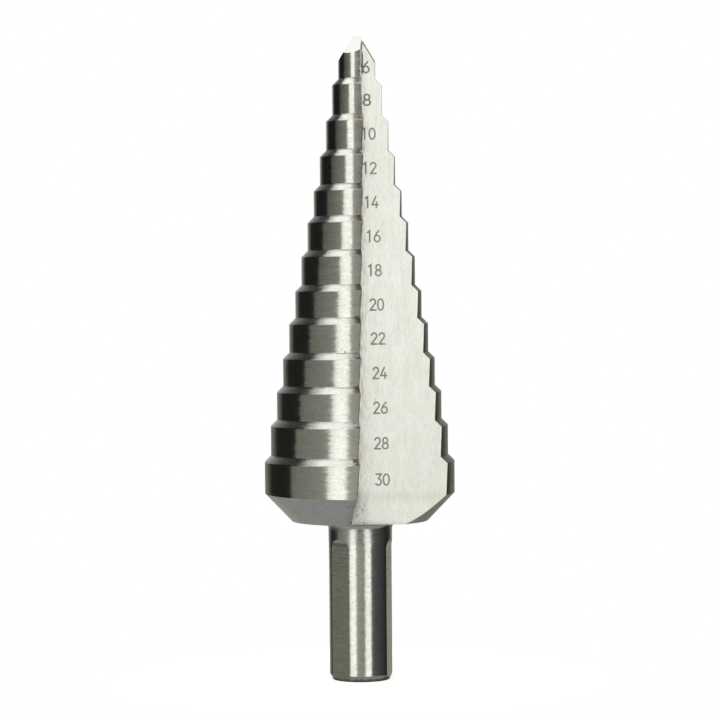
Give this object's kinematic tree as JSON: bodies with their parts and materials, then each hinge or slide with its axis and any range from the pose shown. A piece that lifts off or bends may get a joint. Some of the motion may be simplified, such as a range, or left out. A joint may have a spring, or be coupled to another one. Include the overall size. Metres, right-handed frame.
{
  "type": "step drill",
  "caption": "Straight-fluted step drill bit with size marks on the flute floor, a split point and a straight shank with chuck flats.",
  "frame": {"origin": "centre of the flat end of the shank", "axes": "+Z along the tool axis from the shank to the point; the marked flute faces -Y, with the cutting edge of its lobe at the front and the marked floor to its right, towards +X"},
  "size_m": [0.0298, 0.03, 0.1009],
  "materials": {
    "ground_steel": "bright ground and turned high-speed steel, satin on the flute floors, with fine circumferential tool marks on the lands",
    "size_marks": "dull grey etched numerals"
  },
  "bodies": {
    "root": {"step_drill": "ground_steel"}
  },
  "joints": []
}
